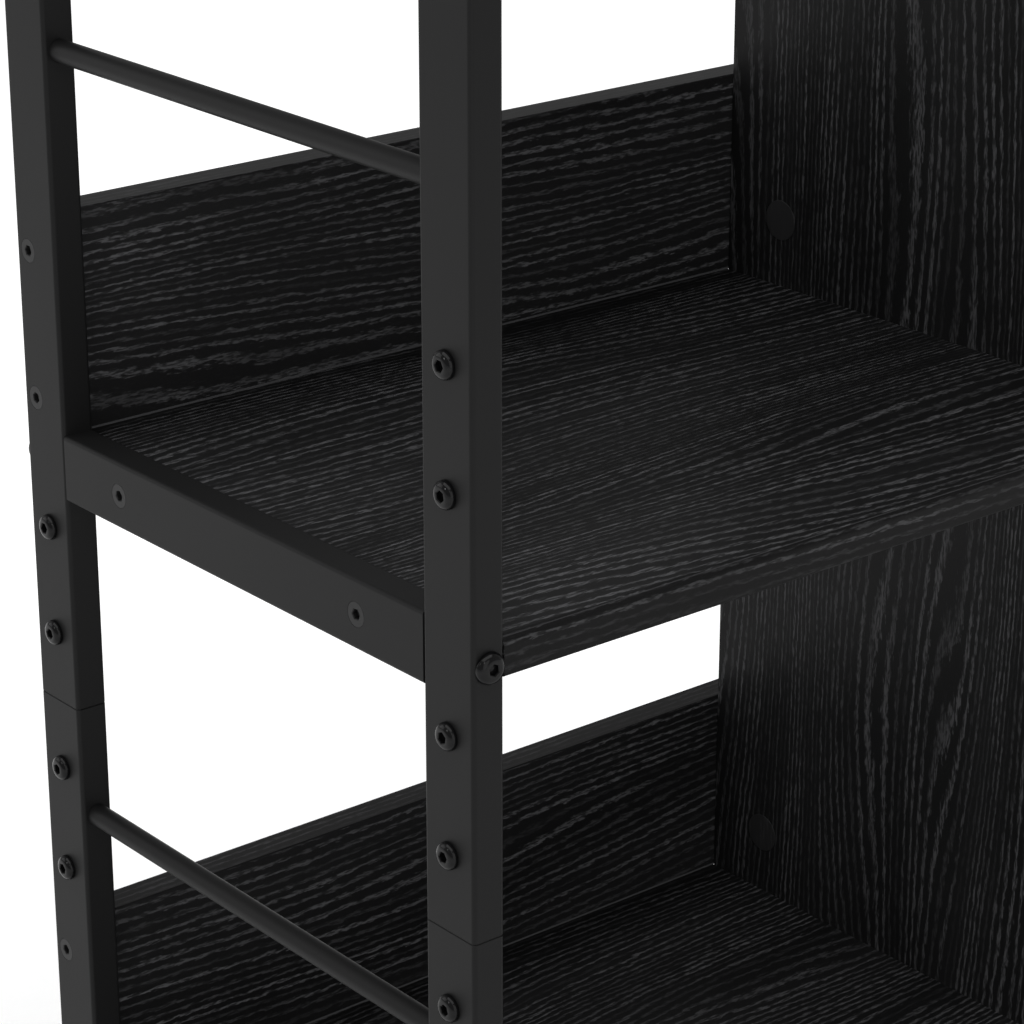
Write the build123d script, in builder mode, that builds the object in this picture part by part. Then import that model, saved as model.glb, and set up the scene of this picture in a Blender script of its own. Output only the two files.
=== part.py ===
"""Two-bay bookcase: steel side frames, black oak boards, one divider and three adjustable shelves.

Units are millimetres. +X is the width, +Y runs to the back, +Z is up. The origin is on the floor
under the middle of the footprint. The left bay is at -X and the viewer stands at -Y.
"""
import os

from build123d import *

# ---- Driving dimensions -------------------------------------------------------------------------
DEPTH = 310.0  # front faces of the front posts to rear faces of the rear posts
HEIGHT = 1248.0  # floor to the top of the post caps
BAY = 385.0  # clear width of each bay

TUBE_WIDTH = 15.0  # posts and rails are one rectangular tube, seen 15 wide from the front
TUBE_DEPTH = 30.0
TUBE_WALL = 1.2
TUBE_ROUND = 1.8  # outer corner radius
TUBE_INNER_ROUND = 0.6
ROD_RADIUS = 5.0
ROD_SPIGOT = 4.0  # how far each rod end goes into its post

BOARD = 16.0  # thickness of every board
BOARD_EASE = 0.5  # small chamfer on the boards' edges
NOSE_ROUND = 4.0  # upper front edge of a shelf
UNDER_ROUND = 1.0  # lower front edge of a shelf
STRIP_HEIGHT = 100.0
STRIP_INSET = 1.0  # strips stop this far inside the rear faces of the posts

LEFT_SHELF_TOPS = [84.0, 419.0, 754.0]
TOP_SHELF = 1114.0  # upper face of the full-width top board
RIGHT_STEP = 41.5  # the right bay's fixed shelves sit this much higher than the left bay's
ADJUSTABLE_REST = [277.0, 612.0, 939.0]  # undersides of the adjustable shelves as they rest

RAIL_ABOVE_SHELF = 5.0  # top of a rail above its shelf's top
ROD_ABOVE_SHELF = [158.0, 158.0, 172.0]  # rod centre above the left shelf of the same tier
TOP_ROD = 1181.0
SEAM = 630.0  # where the lower and upper post sections meet
SEAM_EASE = 0.4  # bevel on the ends of the sections

SLEEVE_LENGTH = 220.0
SLEEVE_WALL = 1.5
SLEEVE_PLAY = 0.15
SLEEVE_BOLTS = [-83.0, -33.0, 33.0, 83.0]  # from the seam
SPARE_BOLTS = [180.0, 230.0]  # front posts only, above the seam

CAP_THICK = 2.0
PLUG_LENGTH = 16.0
PLUG_PLAY = 0.1
FOOT_GAP = 0.3
FOOT_NECK = 10.0  # height of a foot's pad and neck under the post plug
FOOT_STEM_RADIUS = 4.0
FOOT_STEM_TOP = 32.0
FOOT_PLAY = 0.05
FOOT_PAD_RADIUS = 11.0
GLIDE_THICK = 5.0

HOLE_PITCH = 32.0  # vertical step of the shelf-pin holes
HOLE_ROWS = [-3, -2, -1, 0, 1, 2, 3]
PIN_RADIUS = 2.5
PIN_HOLE_DEPTH = 10.0
PIN_IN_BOARD = 9.0
PIN_GAP = 0.2  # shelf above pin
SHELF_PLAY = 0.8  # adjustable shelf to its neighbours at each end
EDGE_SETBACK = 37.0  # cover caps and pin holes from the divider's edges

BUTTON_RADIUS = 5.75
BUTTON_HEIGHT = 3.3
DOME_RADIUS = 6.5
DOME_HEIGHT = 3.6
FLAT_RADIUS = 5.4
FLAT_DEPTH = 2.8
SOCKET_ACROSS = 4.0
BOLT_RADIUS = 3.0
SCREW_RADIUS = 2.4
FIT = 0.02  # radial room of a screw or bolt in its hole
CLEAR = 0.15  # radial room of a bolt in a punched hole

CAP_RADIUS = 10.0
COVER_THICK = 0.5

# ---- Places worked out from them ----------------------------------------------------------------
HALF_WIDTH = TUBE_WIDTH + BAY + BOARD / 2
FRONT = -DEPTH / 2
BACK = DEPTH / 2
BAY_OUTER = HALF_WIDTH - TUBE_WIDTH  # inner faces of the posts
DIVIDER_FACE = BOARD / 2
POST_X = HALF_WIDTH - TUBE_WIDTH / 2
POST_Y = BACK - TUBE_DEPTH / 2
RAIL_Y = BACK - TUBE_DEPTH  # rails run between the posts
STRIP_BACK = BACK - STRIP_INSET
STRIP_FRONT = STRIP_BACK - BOARD
STRIP_MID = STRIP_FRONT + BOARD / 2
POST_BOTTOM = FOOT_NECK + CAP_THICK
POST_TOP = HEIGHT - CAP_THICK
RIGHT_SHELF_TOPS = [top + RIGHT_STEP for top in LEFT_SHELF_TOPS]
STRIP_BASES = LEFT_SHELF_TOPS + [TOP_SHELF]
LEFT_RAILS = [top + RAIL_ABOVE_SHELF - TUBE_DEPTH / 2 for top in LEFT_SHELF_TOPS + [TOP_SHELF]]
RIGHT_RAILS = [top + RAIL_ABOVE_SHELF - TUBE_DEPTH / 2 for top in RIGHT_SHELF_TOPS + [TOP_SHELF]]
ROD_HEIGHTS = [top + up for top, up in zip(LEFT_SHELF_TOPS, ROD_ABOVE_SHELF)] + [TOP_ROD]
STRIP_SCREWS = [base + STRIP_HEIGHT / 2 + off for base in STRIP_BASES for off in (-33.0, 33.0)]
SHELF_SCREW_Y = [-83.0, 83.0]
COVER_Y = [FRONT + EDGE_SETBACK, STRIP_FRONT - EDGE_SETBACK]
PIN_POST_Y = [-POST_Y, RAIL_Y + 6.0]
PIN_AXES = [rest - PIN_GAP - PIN_RADIUS for rest in ADJUSTABLE_REST]
PIN_ROWS = [axis + HOLE_PITCH * row for axis in PIN_AXES for row in HOLE_ROWS]
BRACKET_X = [-250.0, 250.0]
BRACKET_HOLE = 2.7
BRACKET_THICK = 2.0
BRACKET_WIDTH = 20.0
BRACKET_HOLE_Z = TOP_SHELF + STRIP_HEIGHT + 20.0

SIDES = {"left": -1, "right": 1}
POSTS = {"front": -1, "rear": 1}
MOUTH = (Align.CENTER, Align.CENTER, Align.MAX)  # a cutter that ends at its plane

os.makedirs("parts", exist_ok=True)


def save(part, name):
    """Label a finished piece and write it as its own STEP file."""
    part.label = name
    export_step(part, f"parts/{name}.step")


def looking_along(x, y, z, direction):
    """A plane at a point whose normal, and so the outward end of a fastener, is direction."""
    up = (0, 1, 0) if abs(direction[2]) == 1 else (0, 0, 1)
    return Plane(origin=(x, y, z), x_dir=up, z_dir=direction)


def drill(places, radius, depth):
    """Cut round holes that start at each plane and go in against its normal."""
    if places:
        with Locations(*places):
            Cylinder(radius, depth, align=MOUTH, mode=Mode.SUBTRACT)


def countersink(places):
    """Cut the conical seat of a flush screw at each plane."""
    if places:
        with Locations(*places):
            Cone(SCREW_RADIUS + FIT, FLAT_RADIUS + FIT, FLAT_DEPTH, align=MOUTH, mode=Mode.SUBTRACT)


def copies(prototype, places):
    """One part that holds a separate copy of the prototype at each plane."""
    with BuildPart() as group:
        for place in places:
            add(prototype.moved(place.location))
    return group.part


# ---- Fasteners ----------------------------------------------------------------------------------
def button_bolt(head_radius, head_height, shank_length):
    """Domed hex-socket bolt. The head stands on the plane z = 0 and the shank goes to -z."""
    rim = 0.7
    with BuildPart() as bolt:
        with BuildSketch(Plane.XZ):
            with BuildLine():
                Polyline((0, -shank_length), (BOLT_RADIUS, -shank_length), (BOLT_RADIUS, 0))
                Line((BOLT_RADIUS, 0), (head_radius, 0))
                Line((head_radius, 0), (head_radius, rim))
                ThreePointArc(
                    (head_radius, rim),
                    (head_radius * 0.72, head_height * 0.78),
                    (head_radius * 0.5, head_height),
                )
                Polyline((head_radius * 0.5, head_height), (0, head_height), (0, -shank_length))
            make_face()
        revolve(axis=Axis.Z)
        with BuildSketch(Plane.XY.offset(head_height)):
            RegularPolygon(SOCKET_ACROSS / 2, 6, major_radius=False)
        extrude(amount=-(head_height - 0.9), mode=Mode.SUBTRACT)
    return bolt.part


def flush_screw(shank_length):
    """Countersunk hex-socket screw whose flat head ends at z = 0."""
    with BuildPart() as screw:
        with BuildSketch(Plane.XZ):
            with BuildLine():
                Polyline(
                    (0, -shank_length),
                    (SCREW_RADIUS, -shank_length),
                    (SCREW_RADIUS, -FLAT_DEPTH),
                    (FLAT_RADIUS, 0),
                    (0, 0),
                    (0, -shank_length),
                )
            make_face()
        revolve(axis=Axis.Z)
        with BuildSketch(Plane.XY):
            RegularPolygon(SOCKET_ACROSS / 2, 6, major_radius=False)
        extrude(amount=-2.2, mode=Mode.SUBTRACT)
    return screw.part


def ring(outer, inner, length):
    """A round nut or insert from z = 0 down to -length."""
    with BuildPart() as body:
        with BuildSketch(Plane.XY):
            Circle(outer)
            Circle(inner, mode=Mode.SUBTRACT)
        extrude(amount=-length)
    return body.part


def side_places(heights, ends):
    """Planes on the outer faces of the posts, normals pointing out sideways."""
    return [
        looking_along(side * HALF_WIDTH, end * POST_Y, height, (side, 0, 0))
        for side in SIDES.values()
        for end in ends
        for height in heights
    ]


def inward(place, distance):
    """The same plane moved against its normal."""
    return place.offset(-distance)


SLEEVE_PLACES = side_places([SEAM + off for off in SLEEVE_BOLTS], (-1, 1))
SPARE_PLACES = side_places([SEAM + off for off in SPARE_BOLTS], (-1,))
RAIL_BOLT_PLACES = [
    looking_along(side * POST_X, end * BACK, height, (0, end, 0))
    for side, heights in ((-1, LEFT_RAILS), (1, RIGHT_RAILS))
    for end in POSTS.values()
    for height in heights
]
SHELF_SCREW_PLACES = [
    looking_along(side * HALF_WIDTH, y, height, (side, 0, 0))
    for side, heights in ((-1, LEFT_RAILS), (1, RIGHT_RAILS))
    for y in SHELF_SCREW_Y
    for height in heights
]
STRIP_SCREW_PLACES = [
    looking_along(side * HALF_WIDTH, STRIP_MID, height, (side, 0, 0))
    for side in SIDES.values()
    for height in STRIP_SCREWS
]
STRIP_BACK_PLACES = [looking_along(0, STRIP_BACK, height, (0, 1, 0)) for height in STRIP_SCREWS[:6]]
# Screws through the divider: heads on the left face hold the right shelves, and the other way round.
DIVIDER_SCREW_PLACES = [
    looking_along(side * (DIVIDER_FACE - COVER_THICK), y, top - BOARD / 2, (side, 0, 0))
    for side, tops in ((-1, RIGHT_SHELF_TOPS), (1, LEFT_SHELF_TOPS))
    for y in COVER_Y
    for top in tops
]

SLEEVE_SCREW_LENGTH = 9.5
RAIL_BOLT_LENGTH = TUBE_DEPTH + 8.0
SHELF_SCREW_LENGTH = 45.0
BACK_SCREW_LENGTH = 40.0
DIVIDER_SCREW_LENGTH = 50.0
INSERT_RADIUS = 4.6
INSERT_LENGTH = 6.0
SLEEVE_INNER_FACE = TUBE_WALL + SLEEVE_PLAY + SLEEVE_WALL
PLATE_THICK = 4.0

joint_bolt = button_bolt(BUTTON_RADIUS, BUTTON_HEIGHT, SLEEVE_SCREW_LENGTH)
save(copies(joint_bolt, SLEEVE_PLACES + SPARE_PLACES), "post_bolts")
save(
    copies(button_bolt(DOME_RADIUS, DOME_HEIGHT, RAIL_BOLT_LENGTH), RAIL_BOLT_PLACES),
    "rail_bolts",
)
save(copies(flush_screw(SHELF_SCREW_LENGTH), SHELF_SCREW_PLACES), "shelf_screws")
save(copies(flush_screw(SHELF_SCREW_LENGTH), STRIP_SCREW_PLACES), "strip_screws")
save(copies(flush_screw(BACK_SCREW_LENGTH), STRIP_BACK_PLACES), "strip_back_screws")
save(copies(flush_screw(DIVIDER_SCREW_LENGTH), DIVIDER_SCREW_PLACES), "divider_screws")
insert = ring(INSERT_RADIUS, BOLT_RADIUS + FIT, INSERT_LENGTH)
INSERT_PLACES = [inward(place, SLEEVE_INNER_FACE) for place in SLEEVE_PLACES]
INSERT_PLACES += [inward(place, TUBE_WALL) for place in SPARE_PLACES]
save(copies(insert, INSERT_PLACES), "threaded_inserts")


# ---- Steel frame --------------------------------------------------------------------------------
def tube_section():
    """Cross-section of the posts and rails in the current sketch."""
    RectangleRounded(TUBE_WIDTH, TUBE_DEPTH, TUBE_ROUND)
    RectangleRounded(
        TUBE_WIDTH - 2 * TUBE_WALL,
        TUBE_DEPTH - 2 * TUBE_WALL,
        TUBE_INNER_ROUND,
        mode=Mode.SUBTRACT,
    )


def on_post(place, side, end, low, high):
    """True if a fastener's plane lies on this length of this post."""
    spot = place.origin
    near_side = spot.X * side > 0
    near_end = spot.Y * end > RAIL_Y
    return near_side and near_end and low < spot.Z < high


def make_post(side, end, low, high):
    """One length of post with every hole that its fasteners, rods and shelf pins need."""
    here = [
        place
        for place in SLEEVE_PLACES + SPARE_PLACES
        if on_post(place, side, end, low, high)
    ]
    rails = [place for place in RAIL_BOLT_PLACES if on_post(place, side, end, low, high)]
    strips = [place for place in STRIP_SCREW_PLACES if on_post(place, side, end, low, high)]
    rods = [
        looking_along(side * POST_X, end * RAIL_Y, height, (0, -end, 0))
        for height in ROD_HEIGHTS
        if low < height < high
    ]
    pins = []
    if side > 0:
        pin_y = PIN_POST_Y[0] if end < 0 else PIN_POST_Y[1]
        pins = [
            looking_along(BAY_OUTER, pin_y, row, (-1, 0, 0))
            for row in PIN_ROWS
            if low < row < high
        ]
    with BuildPart() as post:
        with BuildSketch(Plane.XY.offset(low)):
            with Locations((side * POST_X, end * POST_Y)):
                tube_section()
        extrude(amount=high - low)
        end_edges = post.edges().filter_by(GeomType.LINE).group_by(Axis.Z)
        outer = [
            edge
            for edge in end_edges[0] + end_edges[-1]
            if abs(edge.center().X) > HALF_WIDTH - 0.1
            or abs(edge.center().X) < BAY_OUTER + 0.1
            or abs(edge.center().Y) > BACK - 0.1
            or abs(edge.center().Y) < RAIL_Y + 0.1
        ]
        chamfer(outer, SEAM_EASE)
        drill(here, BOLT_RADIUS + CLEAR, TUBE_WALL + 0.5)
        drill(rails, BOLT_RADIUS + CLEAR, TUBE_DEPTH)
        drill(rods, ROD_RADIUS + FIT, TUBE_WALL + 0.5)
        drill(pins, PIN_RADIUS + FIT, TUBE_WALL + 0.5)
        drill(strips, SCREW_RADIUS + CLEAR, TUBE_WIDTH)
        countersink(strips)
    return post.part


for side_name, side in SIDES.items():
    for end_name, end in POSTS.items():
        save(make_post(side, end, POST_BOTTOM, SEAM), f"{side_name}_{end_name}_post_lower")
        save(make_post(side, end, SEAM, POST_TOP), f"{side_name}_{end_name}_post_upper")


def make_sleeve(side, end):
    """The inner tube that joins two lengths of post across the seam."""
    bolts = [place for place in SLEEVE_PLACES if on_post(place, side, end, 0, HEIGHT)]
    pin_y = PIN_POST_Y[0] if end < 0 else PIN_POST_Y[1]
    pins = [
        looking_along(BAY_OUTER, pin_y, row, (-1, 0, 0))
        for row in PIN_ROWS
        if side > 0 and abs(row - SEAM) < SLEEVE_LENGTH / 2
    ]
    rods = [
        looking_along(side * POST_X, end * RAIL_Y, height, (0, -end, 0))
        for height in ROD_HEIGHTS
        if abs(height - SEAM) < SLEEVE_LENGTH / 2
    ]
    width = TUBE_WIDTH - 2 * TUBE_WALL - 2 * SLEEVE_PLAY
    depth = TUBE_DEPTH - 2 * TUBE_WALL - 2 * SLEEVE_PLAY
    with BuildPart() as sleeve:
        with BuildSketch(Plane.XY.offset(SEAM - SLEEVE_LENGTH / 2)):
            with Locations((side * POST_X, end * POST_Y)):
                RectangleRounded(width, depth, TUBE_INNER_ROUND)
                Rectangle(width - 2 * SLEEVE_WALL, depth - 2 * SLEEVE_WALL, mode=Mode.SUBTRACT)
        extrude(amount=SLEEVE_LENGTH)
        drill(bolts, BOLT_RADIUS + FIT, SLEEVE_INNER_FACE + 0.2)
        drill(pins, PIN_RADIUS + FIT, SLEEVE_INNER_FACE + 0.2)
        drill(rods, ROD_RADIUS + FIT, ROD_SPIGOT + 1.0)
    return sleeve.part


with BuildPart() as post_sleeves:
    for side in SIDES.values():
        for end in POSTS.values():
            add(make_sleeve(side, end))
save(post_sleeves.part, "post_sleeves")


def plug_outline(play):
    """Outline of a plastic plug inside a post in the current sketch."""
    width = TUBE_WIDTH - 2 * TUBE_WALL - 2 * play
    depth = TUBE_DEPTH - 2 * TUBE_WALL - 2 * play
    RectangleRounded(width, depth, TUBE_INNER_ROUND)


POST_CENTRES = [(side * POST_X, end * POST_Y) for side in (-1, 1) for end in (-1, 1)]
CAP_PLUG = 12.0

with BuildPart() as post_caps:
    with BuildSketch(Plane.XY.offset(POST_TOP)):
        with Locations(*POST_CENTRES):
            RectangleRounded(TUBE_WIDTH, TUBE_DEPTH, TUBE_ROUND)
    extrude(amount=CAP_THICK)
    chamfer(post_caps.edges().group_by(Axis.Z)[-1], 0.6)
    with BuildSketch(Plane.XY.offset(POST_TOP - CAP_PLUG)):
        with Locations(*POST_CENTRES):
            plug_outline(PLUG_PLAY)
    extrude(amount=CAP_PLUG)
save(post_caps.part, "post_caps")

with BuildPart() as foot_plugs:
    with BuildSketch(Plane.XY.offset(FOOT_NECK)):
        with Locations(*POST_CENTRES):
            RectangleRounded(TUBE_WIDTH, TUBE_DEPTH, TUBE_ROUND)
    extrude(amount=CAP_THICK)
    with BuildSketch(Plane.XY.offset(POST_BOTTOM)):
        with Locations(*POST_CENTRES):
            plug_outline(PLUG_PLAY)
    extrude(amount=PLUG_LENGTH)
    with BuildSketch(Plane.XY.offset(FOOT_NECK)):
        with Locations(*POST_CENTRES):
            Circle(FOOT_STEM_RADIUS + FOOT_PLAY)
    extrude(amount=PLUG_LENGTH + CAP_THICK, mode=Mode.SUBTRACT)
save(foot_plugs.part, "foot_plugs")


def make_foot(side, end):
    """Levelling foot: a round pad, a tapered neck and the threaded stem."""
    with BuildPart() as foot:
        with BuildSketch(Plane.XZ):
            with BuildLine():
                Polyline(
                    (0, 0),
                    (FOOT_PAD_RADIUS - 0.8, 0),
                    (FOOT_PAD_RADIUS, 0.8),
                    (FOOT_PAD_RADIUS, 4.5),
                    (7.0, 7.0),
                    (6.5, FOOT_NECK - FOOT_GAP),
                    (FOOT_STEM_RADIUS, FOOT_NECK - FOOT_GAP),
                    (FOOT_STEM_RADIUS, FOOT_STEM_TOP),
                    (0, FOOT_STEM_TOP),
                    (0, 0),
                )
            make_face()
        revolve(axis=Axis.Z)
    return foot.part.moved(Location((side * POST_X, end * POST_Y, 0)))


for side_name, side in SIDES.items():
    for end_name, end in POSTS.items():
        save(make_foot(side, end), f"foot_{side_name}_{end_name}")


def make_rail(side, height):
    """Side rail between a front and a rear post, at one shelf."""
    screws = [
        place
        for place in SHELF_SCREW_PLACES
        if place.origin.X * side > 0 and abs(place.origin.Z - height) < 1
    ]
    start = Plane(origin=(side * POST_X, -RAIL_Y, height), x_dir=(1, 0, 0), z_dir=(0, 1, 0))
    with BuildPart() as rail:
        with BuildSketch(start):
            tube_section()
        extrude(amount=2 * RAIL_Y)
        drill(screws, SCREW_RADIUS + CLEAR, TUBE_WIDTH)
        countersink(screws)
    return rail.part


def make_rod(side, height):
    """Round side guard between a front and a rear post."""
    start = Plane(
        origin=(side * POST_X, -RAIL_Y - ROD_SPIGOT, height), x_dir=(1, 0, 0), z_dir=(0, 1, 0)
    )
    with BuildPart() as rod:
        with BuildSketch(start):
            Circle(ROD_RADIUS)
        extrude(amount=2 * (RAIL_Y + ROD_SPIGOT))
    return rod.part


LEVELS = ["bottom", "lower", "middle", "top"]
for side_name, side, rail_heights in (("left", -1, LEFT_RAILS), ("right", 1, RIGHT_RAILS)):
    for level, rail_height, rod_height in zip(LEVELS, rail_heights, ROD_HEIGHTS):
        save(make_rail(side, rail_height), f"{side_name}_rail_{level}")
        save(make_rod(side, rod_height), f"{side_name}_rod_{level}")

with BuildPart() as rail_end_plates:
    for place in RAIL_BOLT_PLACES:
        with BuildSketch(place.offset(-TUBE_DEPTH)):
            plate_depth = TUBE_DEPTH - 2 * TUBE_WALL - 2 * PLUG_PLAY
            plate_width = TUBE_WIDTH - 2 * TUBE_WALL - 2 * PLUG_PLAY
            RectangleRounded(plate_depth, plate_width, TUBE_INNER_ROUND)
            Circle(BOLT_RADIUS + FIT, mode=Mode.SUBTRACT)
        extrude(amount=-PLATE_THICK)
save(rail_end_plates.part, "rail_end_plates")


# ---- Boards -------------------------------------------------------------------------------------
def make_board(low, high, holes, kind="panel"):
    """A board between two corners, with eased edges. holes is a list of (planes, radius, depth).

    A shelf has rounded front edges, and a strip keeps sharp edges where it stands on its shelf.
    """
    size = [top - bottom for bottom, top in zip(low, high)]
    middle = [(top + bottom) / 2 for bottom, top in zip(low, high)]
    with BuildPart() as board:
        with Locations(tuple(middle)):
            Box(*size)
        if kind == "shelf":
            nose = board.edges().filter_by(Axis.X).group_by(Axis.Y)[0].sort_by(Axis.Z)
            fillet(nose[-1], NOSE_ROUND)
            nose = board.edges().filter_by(Axis.X).group_by(Axis.Y)[0].sort_by(Axis.Z)
            fillet(nose[0], UNDER_ROUND)
            rear = board.edges().filter_by(Axis.X).group_by(Axis.Y)[-1]
            chamfer(rear, BOARD_EASE)
        elif kind == "strip":
            chamfer(board.edges().group_by(Axis.Z)[-1], BOARD_EASE)
        else:
            chamfer(board.edges(), BOARD_EASE)
        for places, radius, depth in holes:
            drill(places, radius, depth)
    return board.part


def screws_into(screws, low, high):
    """Those screw planes whose axis runs through the board between two corners."""
    chosen = []
    for place in screws:
        axis = [abs(place.z_dir.X), abs(place.z_dir.Y), abs(place.z_dir.Z)]
        spot = [place.origin.X, place.origin.Y, place.origin.Z]
        inside = all(
            along > 0.5 or bottom < here < top
            for along, here, bottom, top in zip(axis, spot, low, high)
        )
        tip = [here - way * DIVIDER_SCREW_LENGTH * 0.8 for here, way in zip(spot, place.z_dir)]
        meets = all(bottom - 1 < here < top + 1 for here, bottom, top in zip(tip, low, high))
        if inside and meets:
            chosen.append(place)
    return chosen


def save_board(name, low, high, extra=()):
    """Make, drill and save a horizontal board."""
    holes = [
        (screws_into(SHELF_SCREW_PLACES, low, high), SCREW_RADIUS + FIT, SHELF_SCREW_LENGTH),
        (screws_into(DIVIDER_SCREW_PLACES, low, high), SCREW_RADIUS + FIT, DIVIDER_SCREW_LENGTH),
        (screws_into(STRIP_SCREW_PLACES, low, high), SCREW_RADIUS + FIT, SHELF_SCREW_LENGTH),
    ]
    drilled = [hole for hole in holes if hole[0]] + list(extra)
    save(make_board(low, high, drilled, "shelf"), name)


for level, top in zip(LEVELS, LEFT_SHELF_TOPS):
    save_board(
        f"left_shelf_{level}",
        (-BAY_OUTER, FRONT, top - BOARD),
        (-DIVIDER_FACE, STRIP_BACK, top),
    )
for level, top in zip(LEVELS, RIGHT_SHELF_TOPS):
    save_board(
        f"right_shelf_{level}",
        (DIVIDER_FACE, FRONT, top - BOARD),
        (BAY_OUTER, STRIP_FRONT, top),
    )

DOWEL_RADIUS = 4.0
DOWEL_LENGTH = 26.0
DOWEL_IN_TOP = 10.0
dowel_tops = [
    looking_along(0, y, TOP_SHELF - BOARD + DOWEL_IN_TOP, (0, 0, 1)) for y in COVER_Y
]
dowel_mouths = [looking_along(0, y, TOP_SHELF - BOARD, (0, 0, -1)) for y in COVER_Y]
bracket_mouths = [
    looking_along(x, STRIP_MID, TOP_SHELF + STRIP_HEIGHT, (0, 0, 1)) for x in BRACKET_X
]
save_board(
    "top_shelf",
    (-BAY_OUTER, FRONT, TOP_SHELF - BOARD),
    (BAY_OUTER, STRIP_BACK, TOP_SHELF),
    extra=[(dowel_mouths, DOWEL_RADIUS + FIT, DOWEL_IN_TOP)],
)
save(copies(ring(DOWEL_RADIUS, 0.6, DOWEL_LENGTH), dowel_tops), "top_dowels")

BRACKET_SCREW_RADIUS = 1.75
BRACKET_SCREW_LENGTH = 20.0
for level, base in zip(LEVELS, STRIP_BASES):
    low = (-BAY_OUTER, STRIP_FRONT, base)
    high = (BAY_OUTER, STRIP_BACK, base + STRIP_HEIGHT)
    backs = [place for place in STRIP_BACK_PLACES if base < place.origin.Z < high[2]]
    ends = [place for place in STRIP_SCREW_PLACES if base < place.origin.Z < high[2]]
    holes = [
        (ends, SCREW_RADIUS + FIT, SHELF_SCREW_LENGTH),
        (backs, SCREW_RADIUS + FIT, BACK_SCREW_LENGTH),
    ]
    if level == "top":
        holes.append((bracket_mouths, BRACKET_SCREW_RADIUS + FIT, BRACKET_SCREW_LENGTH))
    with BuildPart() as strip:
        add(make_board(low, high, [hole for hole in holes if hole[0]], "strip"))
        if backs:
            countersink(backs)
    save(strip.part, f"back_strip_{level}")

pin_mouths = [
    looking_along(DIVIDER_FACE, y, row, (1, 0, 0)) for y in COVER_Y for row in PIN_ROWS
]
back_mouths = [
    looking_along(0, STRIP_FRONT, place.origin.Z, (0, 1, 0)) for place in STRIP_BACK_PLACES
]
dowel_seats = [looking_along(0, y, TOP_SHELF - BOARD, (0, 0, 1)) for y in COVER_Y]
cover_seats = [place.offset(COVER_THICK) for place in DIVIDER_SCREW_PLACES]
with BuildPart() as divider:
    add(
        make_board(
            (-DIVIDER_FACE, FRONT, GLIDE_THICK),
            (DIVIDER_FACE, STRIP_FRONT, TOP_SHELF - BOARD),
            [
                (pin_mouths, PIN_RADIUS + FIT, PIN_HOLE_DEPTH),
                (back_mouths, SCREW_RADIUS + FIT, BACK_SCREW_LENGTH - BOARD),
                (dowel_seats, DOWEL_RADIUS + FIT, DOWEL_LENGTH - DOWEL_IN_TOP),
                (DIVIDER_SCREW_PLACES, SCREW_RADIUS + FIT, BOARD),
                (cover_seats, FLAT_RADIUS + FIT, COVER_THICK),
            ],
        )
    )
    countersink(DIVIDER_SCREW_PLACES)
save(divider.part, "divider")

with BuildPart() as cover_caps:
    for place in cover_seats:
        with BuildSketch(place):
            Circle(CAP_RADIUS)
        extrude(amount=COVER_THICK)
    rims = cover_caps.edges().filter_by(GeomType.CIRCLE)
    chamfer([rim for rim in rims if abs(rim.center().X) > DIVIDER_FACE + 0.1], COVER_THICK * 0.4)
save(cover_caps.part, "cover_caps")

GLIDE_RADIUS = 7.5
glide_spots = [(0, y, 0) for y in COVER_Y]
with BuildPart() as divider_glides:
    with Locations(*glide_spots):
        Cylinder(GLIDE_RADIUS, GLIDE_THICK, align=(Align.CENTER, Align.CENTER, Align.MIN))
    chamfer(divider_glides.edges().group_by(Axis.Z)[0], 1.2)
save(divider_glides.part, "divider_glides")

for number, rest in enumerate(ADJUSTABLE_REST, start=1):
    save(
        make_board(
            (DIVIDER_FACE + SHELF_PLAY, FRONT + 1.0, rest),
            (BAY_OUTER - SHELF_PLAY, STRIP_FRONT - 1.0, rest + BOARD),
            [],
            "shelf",
        ),
        f"adjustable_shelf_{number}",
    )


# ---- Shelf pins and wall brackets ---------------------------------------------------------------
def shelf_pin():
    """Spigot into a hole at -z, a collar and a flat-topped tongue out to +z. Its +x side is up."""
    with BuildPart() as pin:
        with BuildSketch(Plane.XY):
            Circle(PIN_RADIUS)
        extrude(amount=-PIN_IN_BOARD)
        with BuildSketch(Plane.XY):
            with Locations((-0.4, 0)):
                Rectangle(2 * PIN_RADIUS + 0.8, 9.0)
        extrude(amount=0.6)
        with BuildSketch(Plane.XY):
            with Locations((PIN_RADIUS - 1.5, 0)):
                Rectangle(3.0, 7.0)
        extrude(amount=10.0)
        fillet(pin.edges().group_by(Axis.Z)[-1].filter_by(Axis.X), 2.0)
    return pin.part


pin_places = [
    looking_along(DIVIDER_FACE, y, axis, (1, 0, 0)) for axis in PIN_AXES for y in COVER_Y
]
pin_places += [
    looking_along(BAY_OUTER, y, axis, (-1, 0, 0)) for axis in PIN_AXES for y in PIN_POST_Y
]
save(copies(shelf_pin(), pin_places), "shelf_pins")

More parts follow.
